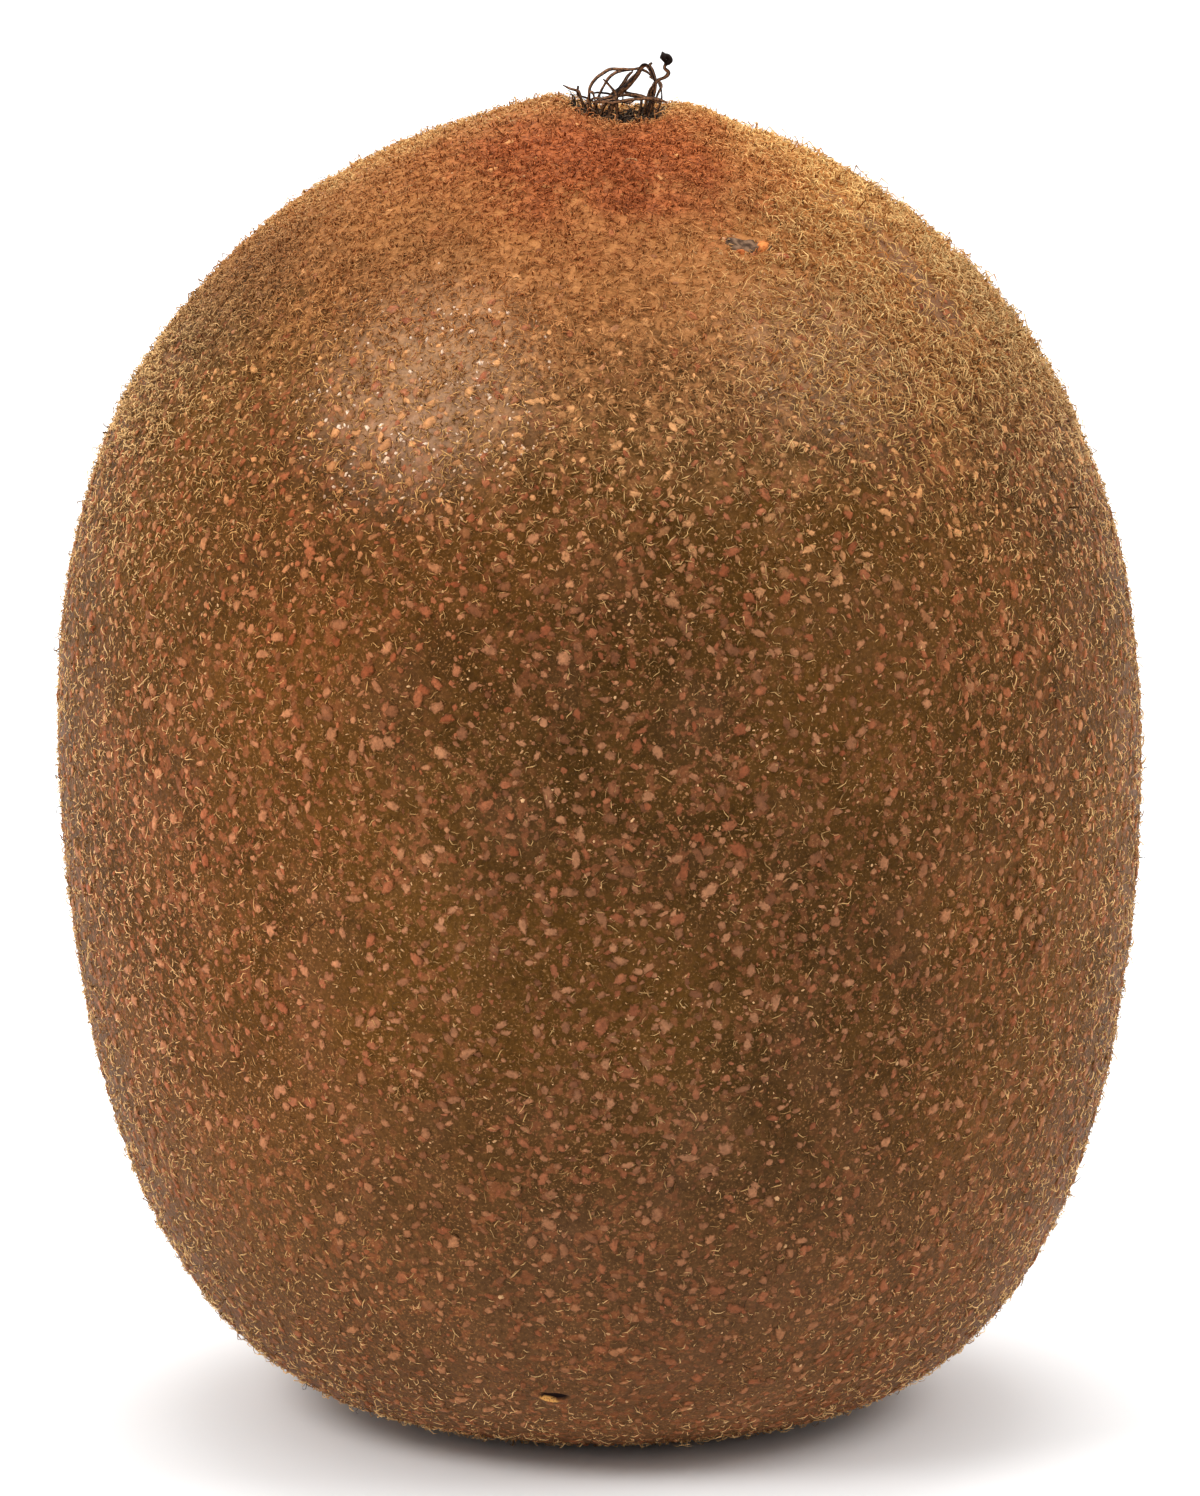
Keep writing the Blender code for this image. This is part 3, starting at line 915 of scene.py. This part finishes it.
# Hairs in each piece, before some are left out, and the first seed of each kind
FELT_SEED, SHORT_FUZZ_SEED, LONG_FUZZ_SEED, STRAY_SEED = 30, 50, 60, 90
FELT_COUNT, SHORT_FUZZ_COUNT, LONG_FUZZ_COUNT, STRAY_COUNT = 19500, 26500, 12000, 260


def make_felt(name, finish, seed):
    """The crown's felt: short curling hairs, thick near the pit, thinning out in patches below FELT_HIGH."""
    rng = np.random.default_rng(seed)

    def density(height, radius):
        in_pit = (radius < PIT_FLOOR_RADIUS + 0.6 * MM) & (height > WAIST)
        return np.where(in_pit, 0.0, smooth_step(height, FELT_LOW - 9 * MM, FELT_HIGH))

    root, normal = skin_and_normal(*scatter(FELT_COUNT, density, rng))
    matted = smooth_step(root[:, 2] + FELT_TILT * root[:, 0], FELT_LOW, FELT_HIGH)
    kept = (cloud(root, 1.5 * MM, seed) > -0.15 - 0.85 * matted) & off_marks(root, rng)
    kept &= rng.random(len(root)) > 0.78 * bareness(root)
    root, normal = root[kept], normal[kept]
    longer = 1.0 + 0.7 * span(root[:, 0], 4, 12) * span(root[:, 2], 50, 58)
    longer *= np.where(rng.random(len(root)) < 0.12, 1.5, 1.0)
    make_hairs(name, root, normal, finish, rng, (0.4, 0.8), (0.06, 0.11), (0.0, 1.3), 1.0, 2, longer=longer)


def make_fuzz(name, count, lengths, sections, finish, seed):
    """The flanks' fuzz: curling hairs in patches, mostly lying along the skin; count is before thinning."""
    rng = np.random.default_rng(seed)

    def density(height, radius):
        return (1.0 - 0.35 * smooth_step(height, FELT_LOW, FELT_HIGH)) * off_foot(height, radius)

    root, normal = skin_and_normal(*scatter(count, density, rng))
    root, normal = thinned(root, normal, 0.5, rng, seed)
    kept = (rng.random(len(root)) < hairiness(root) * (1 - 0.6 * bareness(root))) & off_marks(root, rng)
    shape = (lengths, (0.045, 0.09), (0.05, 1.0), 1.1, sections)
    make_hairs(name, root[kept], normal[kept], finish, rng, *shape)


def make_stray_hairs(finish):
    """A few long dark hairs that stand off the fuzz."""
    rng = np.random.default_rng(STRAY_SEED)
    places = scatter(STRAY_COUNT, lambda height, radius: (height > 1 * MM) * 1.0, rng)
    root, normal = skin_and_normal(*places)
    make_hairs("stray_hairs", root, normal, finish, rng, (0.6, 1.3), (0.04, 0.06), (0.6, 1.5), 1.2, 4)


# Each dried style: the bearing of its root, its thickness, and the points it curls through in millimetres
# from the middle of the pit at TUFT_LEVEL. They are the same curls as those of the solids.
TUFT_LEVEL = 67.55 * MM
STYLE_RADIUS = 0.083 * MM
ROOT_RING = 1.5 * MM
STYLES = (
    (198, 1.3, (
        (-1.48, -0.5, 0.67), (-1.36, -0.5, 1.24), (-0.9, -0.5, 1.73), (-0.29, -0.5, 2.0),
        (0.32, -0.5, 2.04), (0.78, -0.5, 1.98),
    )),
    (160, 1.1, (
        (-0.98, 0.0, 0.51), (-0.67, 0.0, 1.18), (-0.29, 0.0, 1.64), (0.17, 0.0, 1.84), (0.6, -0.05, 1.87),
    )),
    (144, 1.1, ((-0.45, 0.45, 0.45), (0.1, 0.45, 0.92), (0.48, 0.45, 1.5), (0.74, 0.45, 1.76))),
    (240, 1.9, (
        (-0.14, -1.1, 0.63), (0.32, -1.05, 1.08), (0.93, -1.1, 1.76), (1.24, -1.15, 2.26),
        (1.47, -1.2, 2.29), (1.7, -1.2, 1.9), (1.85, -1.15, 1.5),
    )),
    (270, 1.1, ((-0.07, -1.7, 0.6), (-0.14, -1.62, 0.98), (-0.49, -1.55, 1.34), (-0.74, -1.5, 1.62))),
    (328, 1.0, (
        (1.75, -0.6, 0.4), (1.9, -0.6, 1.3), (1.75, -0.6, 1.95), (1.62, -0.6, 2.22),
        (1.74, -0.6, 2.34),
    )),
    (14, 1.2, (
        (1.62, 0.35, 0.1), (1.72, 0.35, 0.68), (1.95, 0.35, 1.28), (2.39, 0.35, 1.5), (2.57, 0.35, 1.72),
        (2.38, 0.35, 1.94), (2.46, 0.35, 2.15), (2.66, 0.35, 2.32), (2.54, 0.35, 2.52),
    )),
    (346, 1.0, ((2.14, -0.12, 0.12), (2.22, -0.12, 0.81), (2.02, -0.12, 1.3))),
    (217, 1.1, (
        (-1.12, -1.65, 0.4), (-0.25, -2.16, 0.52), (0.63, -2.18, 0.68), (1.46, -1.8, 0.7),
        (2.0, -1.5, 0.62), (2.5, -1.15, 0.4),
    )),
    (180, 0.8, ((-1.9, 0.05, 0.55), (-2.05, 0.05, 0.81), (-2.42, 0.05, 0.96), (-2.78, 0.05, 1.1))),
    (52, 0.9, ((1.2, 1.4, 0.2), (0.6, 1.45, 0.5), (-0.3, 1.3, 0.66))),
    (92, 0.9, ((-0.2, 1.75, 0.2), (-0.9, 1.7, 0.5), (-1.35, 1.62, 0.45))),
    (122, 0.9, ((-1.25, 1.25, 0.1), (-2.0, 0.8, 0.5), (-2.05, 0.45, 1.0))),
    (34, 1.0, ((2.0, 0.88, 0.4), (2.2, 1.1, 1.0), (1.6, 1.2, 1.4))),
)
# Loose threads caught among them: thickness, and points in the same way
LOOSE_THREADS = (
    (0.9, ((0.25, -0.45, 1.95), (0.8, -0.6, 2.02), (1.3, -0.95, 2.2))),
    (0.9, ((1.1, -0.82, 2.04), (1.4, -0.8, 1.94), (1.66, -0.8, 1.74), (1.94, -0.75, 1.5))),
    (0.8, ((-0.3, 0.7, 0.2), (0.25, 0.7, 0.95), (0.8, 0.62, 1.55), (1.15, 0.5, 1.8))),
    (0.8, ((0.2, -0.6, 0.2), (0.3, -0.5, 0.9), (0.7, -0.6, 1.4), (1.1, -0.8, 1.9))),
    (0.8, ((-1.35, -1.2, 0.3), (-1.5, -1.22, 0.75), (-1.3, -1.2, 0.93), (-1.12, -1.18, 0.4))),
    (1.2, ((-1.3, -0.9, 0.35), (-0.6, -1.0, 0.62), (0.1, -0.8, 0.7), (0.9, -0.95, 0.74), (2.2, -0.5, 0.3))),
    (1.0, ((-0.9, -1.3, 0.2), (-0.3, -1.25, 0.55), (0.5, -1.4, 0.4), (1.1, -1.2, 0.62), (1.8, -1.1, 0.35))),
    (1.0, ((-1.7, -0.6, 0.2), (-1.2, -0.3, 0.5), (-0.4, -0.5, 0.45), (0.3, -0.4, 0.66), (1.2, -0.4, 0.45))),
    (0.8, ((-0.6, 0.1, 0.1), (-0.2, -0.2, 0.8), (0.3, -0.3, 1.2), (0.6, -0.2, 1.8))),
    (1.0, ((1.35, 0.2, -0.4), (1.5, 0.15, 0.5), (1.75, 0.1, 1.05), (2.0, 0.2, 1.38))),
)
KNOBBED_STYLE, KNOB_POINT = 6, (2.30, 0.35, 2.50)


def smooth_path(knots, steps):
    """A curve through knots: cubics whose slope at a knot is half the step between its neighbours."""
    longer = np.vstack([2 * knots[0] - knots[1], knots, 2 * knots[-1] - knots[-2]])
    slope = (longer[2:] - longer[:-2]) / 2
    part = np.linspace(0, 1, steps, endpoint=False)[:, None]
    runs = [
        start * (1 + 2 * part) * (1 - part) ** 2 + end * part ** 2 * (3 - 2 * part)
        + leave * part * (1 - part) ** 2 - arrive * part ** 2 * (1 - part)
        for start, end, leave, arrive in zip(knots, knots[1:], slope, slope[1:])
    ]
    return np.vstack(runs + [knots[-1]])


def make_thread(name, knots, thickness, knobbed, finish, seed):
    """A dried thread: a shrunken, grooved ribbon carried along its knots, swelling and thinning as it goes.

    Its cross-section is an ellipse half as thick as it is wide, with a groove down each side.
    """
    rng = np.random.default_rng(seed)
    path = smooth_path(knots, steps=14)
    rings, corners = len(path), 12
    path = path + 0.03 * MM * np.stack([cloud(path, 0.5 * MM, seed + axis) for axis in range(3)], axis=1)
    forward = unit(np.gradient(path, axis=0))
    side = unit(np.cross(forward, (0.15, 1.0, 0.1)))
    above = np.cross(side, forward)
    along = np.linspace(0, 1, rings)
    twist = rng.uniform(-1, 1) + 1.5 * rng.uniform(-1, 1) * along
    angle = turns(corners)
    grooved = 1.0 - 0.25 * np.cos(angle * 2) ** 2 * (np.abs(np.sin(angle)) > 0.5)
    wide, thin = np.cos(angle) * grooved, np.sin(angle) * 0.55 * grooved
    swell = 1.0 + 0.25 * cloud(path, 0.35 * MM, seed + 3)
    tip = smooth_step(along, 0.93, 0.97) * knobbed
    stout = smooth_step(along, 0.66, 0.74) * knobbed
    swell = swell * (1 + 0.6 * stout + 0.9 * tip) * (1 - 0.35 * smooth_step(along, 0.8, 1.0) * (1 - knobbed))
    girth = STYLE_RADIUS * thickness * swell
    thin = thin[None] * (1 + 0.8 * stout[:, None])
    flat = wide[None] * np.cos(twist)[:, None] - thin * np.sin(twist)[:, None]
    deep = wide[None] * np.sin(twist)[:, None] + thin * np.cos(twist)[:, None]
    spread = girth[:, None, None] * (flat[..., None] * side[:, None] + deep[..., None] * above[:, None])
    tip = path[-1] + forward[-1] * girth[-1] * 0.6
    points, faces, spots = closed_grid(path[:, None] + spread, path[0], tip)
    ridge = np.abs(np.sin(angle))[None] - 2.0 * stout[:, None]
    ridge = np.append(ridge.ravel(), [0.5, ridge[-1, 0]])
    return build(name, points, faces, finish, "dried_style", spots, ridge=ridge)


def tuft_places(curl):
    """A curl's points in the fruit's frame."""
    return np.array(curl) * MM + (PIT_X, 0.0, TUFT_LEVEL)


def make_styles(finish):
    """The fourteen styles, each rooted in the pit's floor, and the loose threads."""
    for number, (bearing, thickness, curl) in enumerate(STYLES):
        turn = math.radians(bearing)
        root = (PIT_X + ROOT_RING * math.cos(turn), ROOT_RING * math.sin(turn), PIT_FLOOR - 0.1 * MM)
        knobbed = number == KNOBBED_STYLE
        knots = np.vstack([root, tuft_places((*curl, KNOB_POINT) if knobbed else curl)])
        name = f"style_{number + 1:02d}"
        piece = make_thread(f"dried_{name}", knots, thickness, knobbed, finish, 100 + 10 * number)
        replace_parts(piece, name)
    for number, (thickness, curl) in enumerate(LOOSE_THREADS):
        name = f"loose_thread_{number + 1}"
        make_thread(name, tuft_places(curl), thickness, False, finish, 300 + 10 * number)


def make_pit_threads(finish):
    """The dried tangle in the pit: long curling threads rooted over the pit's floor and wall."""
    rng = np.random.default_rng(7)
    count, sections = 700, 6
    bearing = rng.uniform(0, 2 * np.pi, count)
    share = np.sqrt(rng.random(count)) * 2.3 * MM / WHOLE_LENGTH
    root, normal = skin_and_normal(bearing, np.maximum(share, 0.002))
    points = hair_points(root, normal, (0.7, 1.7), (0.07, 0.14), (0.2, 1.1), 4.0, sections, rng)
    piece = build_hairs("pit_threads", points, sections, finish, "dried_tangle", "ridge")
    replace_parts(piece, "pit_tangle")


def mark(bearing, turn, *sizes):
    """A mark on the skin: bearing in degrees, height, half length, half width, and turn from level. sizes
    are the middle three, in millimetres."""
    return (bearing, *mm(*sizes), turn)


SCAB = mark(-59.4, -0.15, 62.5, 1.25, 0.55)
SCAB_SPOTS = mark(-61.6, 0.0, 62.25, 0.26, 0.20), mark(-56.4, 0.5, 62.4, 0.48, 0.36)
SCAB_SPECKS = mark(-63.8, 0.0, 62.85, 0.22, 0.12), mark(-53.5, -0.3, 61.95, 0.50, 0.20)
NICK = mark(-97.6, 0.0, 4.8, 1.3, 0.8)
BARE_MARKS = SCAB, mark(-97.6, 0.0, 4.8, 1.0, 0.55)


def nick_cut(along, across):
    """1 in the slit, a level lens 1.5 mm long and 0.5 mm high, and 0 off it."""
    lens = (along / (0.76 * MM)) ** 2 + ((across - 0.16 * MM) / (0.27 * MM)) ** 2
    return 1.0 - smooth_step(lens, 0.5, 1.3)


def nick_lip(along, across):
    """1 on the lip under the left half of the slit, painted pale yellow as a highlight."""
    lens = ((along + 0.28 * MM) / (0.5 * MM)) ** 2 + ((across + 0.16 * MM + 0.25 * along) / (0.13 * MM)) ** 2
    return 1.0 - smooth_step(lens, 0.5, 1.3)


def bead(half_long, half_wide):
    """A bead's relief: 0.6 half widths high, times the root of 1 - 0.6 (part of the way out)^2."""
    def relief(along, across):
        left = 1.0 - (along / half_long) ** 2 * 0.6 - (across / half_wide) ** 2 * 0.6
        return 0.6 * half_wide * np.sqrt(np.clip(left, 0.0, 1.0))
    return relief


def nick_relief(along, across):
    """A swelling with the slit cut into it and the lip standing on it."""
    return 0.19 * MM - 0.15 * MM * nick_cut(along, across) + 0.08 * MM * nick_lip(along, across)


def make_marks():
    """The scab with its orange spots, and the nick, each a patch on the skin."""
    scab = speckled_finish("scab", (62, 43, 30), (132, 102, 78), 0.35, 0.7, 0.35, 0.7)
    make_patch("scab", SCAB, lambda along, across: 0.06 * MM + 0.1 * along ** 2 / MM, scab, 301)
    spots = speckled_finish("scab_spots", (160, 84, 40), (214, 132, 70), 0.25)
    specks = speckled_finish("scab_specks", (176, 92, 60), (206, 156, 112), 0.25)
    for name, group, finish in (("scab_spots", SCAB_SPOTS, spots), ("scab_specks", SCAB_SPECKS, specks)):
        for number, place in enumerate(group):
            make_patch(f"{name}_{number + 1}", place, bead(*place[2:4]), finish, 310 + number)
    nick = Finish("nick", 0.5, 0.05)
    skin, _ = skin_paint(nick)
    # painted shade: the slit near black; painted highlight: the lip broken pale yellow
    broken = nick.value("lip") * nick.noise(0.14, 2.0, 0.3).step(0.30, 0.52)
    nick.paint(nick.over(skin, ((22, 10, 10), nick.value("cut")), ((220, 160, 88), broken)))
    make_patch("nick", NICK, nick_relief, nick, 330, cut=nick_cut, lip=nick_lip)


def make_scar():
    """The stalk scar: a woody disc facing down in the dimple, rings from its middle outwards.

    It follows the underside, lowered by a rim, ridges like the spokes of a wheel and a hollow middle, and its
    last ring sinks into the skin.
    """
    part, angle, flat = disc(rings=20, corners=72)
    radius = 1.08 * SCAR_RADIUS * part * (1.0 + 0.04 * np.sin(3 * angle + 0.7) + 0.03 * np.sin(7 * angle))
    east, north = radius * np.cos(angle), -radius * np.sin(angle)
    rough = cloud(np.stack([east, north, 0 * east], axis=-1), 0.22 * MM, 340)
    spokes = np.cos(13 * angle + 3.0 * rough) * smooth_step(part, 0.15, 0.4)
    ridge = 0.5 + 0.3 * spokes + 0.2 * rough
    hollow = 1.0 - span(radius, 0.25, 0.6)
    relief = (0.10 + 0.08 * ridge - 0.09 * hollow) * MM * (1 - part ** 6) - 0.05 * MM * part ** 8
    points = np.stack([FOOT_X + east, north, foot_height(radius) - relief], axis=-1)
    middle = points[0].mean(axis=0)
    points, faces, _ = closed_grid(points, middle, middle + (0.0, 0.0, 0.3 * MM))
    finish = Finish("stalk_scar", 0.6, 0.1)
    wood = finish.mix((92, 62, 38), (158, 120, 80), finish.value("ridge").step(0.2, 0.8))
    wood = finish.scaled(wood, 0.6 + finish.noise(0.15, 3.0) * 0.8)
    rim = finish.distance((FOOT_X, 0.0, 0.0), (1.0, 1.0, 0.0)).span(1.15, 1.6)
    finish.paint(finish.mix(wood, (56, 35, 21), rim))
    numbers = {"ridge": np.append(ridge.ravel(), [0.2, 0.2])}
    build("stalk_scar", points, faces, finish, "skin", flat_spots(flat, faces), **numbers)


def make_pieces():
    make_skin(skin_finish())
    make_scurf(scurf_finish())
    make_flecks(pale_fleck_finish())
    make_marks()
    make_scar()
    fuzz = fuzz_finish()
    for batch in range(3):
        make_felt(f"felt_{batch + 1}", fuzz, FELT_SEED + batch)
    for batch in range(2):
        short, long = f"short_fuzz_{batch + 1}", f"long_fuzz_{batch + 1}"
        make_fuzz(short, SHORT_FUZZ_COUNT, (0.25, 0.55), 2, fuzz, SHORT_FUZZ_SEED + batch)
        make_fuzz(long, LONG_FUZZ_COUNT, (0.5, 0.95), 3, fuzz, LONG_FUZZ_SEED + batch)
    make_stray_hairs(stray_finish())
    make_styles(dried_finish("dried_styles", (27, 15, 10), (142, 98, 66), 0.1))
    make_pit_threads(dried_finish("dried_tangle", (32, 23, 17), (118, 94, 72), 0.2))


# --- table, light and camera

FRONT_GLOW, WALL_GLOW, LEFT_SHARE = 0.25, 1.2, 0.14


def make_floor():
    """A wide white table top, just under the fruit."""
    half, level = 3.0, -0.05 * MM
    mesh = bpy.data.meshes.new("table_top")
    corners = [(half * x, half * y, level) for x, y in ((-1, -1), (1, -1), (1, 1), (-1, 1))]
    mesh.from_pydata(corners, [], [(0, 1, 2, 3)])
    finish = Finish("white_table", 0.6, 0.2)
    finish.paint((0.9, 0.9, 0.9, 1.0))
    mesh.materials.append(finish.material)
    placed("table_top", mesh)


def aimed(thing, place, target):
    """Puts a light or camera at a place and turns it to look at the target."""
    thing.location = place
    thing.rotation_euler = (Vector(target) - Vector(place)).to_track_quat("-Z", "Y").to_euler()


def make_light(name, place, size, watts):
    """A round softbox that points at the fruit's waist."""
    lamp = bpy.data.lights.new(name, "AREA")
    lamp.shape, lamp.size, lamp.energy = "DISK", size, watts
    aimed(placed(name, lamp), place, (0.0, 0.0, WAIST))


def studio_world():
    """White all round, but dim at the front and a little brighter at the left, as in a white room."""
    world = bpy.data.worlds.new("studio")
    world.use_nodes = True
    nodes = Nodes(world.node_tree)
    direction = nodes.add("ShaderNodeTexCoord", output="Generated")
    across, back = (nodes.add("ShaderNodeSeparateXYZ", {}, {0: direction}, letter) for letter in ("X", "Y"))
    leftward = nodes.add("ShaderNodeMath", {"operation": "MULTIPLY_ADD"}, {0: across, 1: -LEFT_SHARE, 2: 1.0})
    background = nodes.tree.nodes["Background"]
    background.inputs["Color"].default_value = (1.0, 1.0, 1.0, 1.0)
    nodes.feed(background.inputs["Strength"], back.step(-1.0, -0.3, FRONT_GLOW, WALL_GLOW) * leftward)
    return world


def make_light_and_camera():
    """Three softboxes, the studio round them, and a camera in front of the fruit, a little above it."""
    make_light("key_softbox", (-0.37, -0.26, 0.44), 0.26, 1.6)
    make_light("side_softbox", (0.43, -0.11, 0.44), 0.30, 1.2)
    make_light("top_softbox", (0.0, 0.3, 1.1), 0.8, 6.5)
    bpy.context.scene.world = studio_world()
    bpy.context.scene.view_settings.view_transform = "Standard"
    distance, rise, aim = 7.62 * HEIGHT, 1.571 * HEIGHT, WAIST + 0.45 * MM
    view = bpy.data.cameras.new("camera")
    view.sensor_fit, view.sensor_width, view.lens = "HORIZONTAL", 36.0, 308.5
    view.clip_start = 0.01
    camera = placed("camera", view)
    aimed(camera, (0.0, -distance, WAIST + rise), (0.0, 0.0, aim))
    bpy.context.scene.camera = camera


make_floor()
make_light_and_camera()
make_pieces()
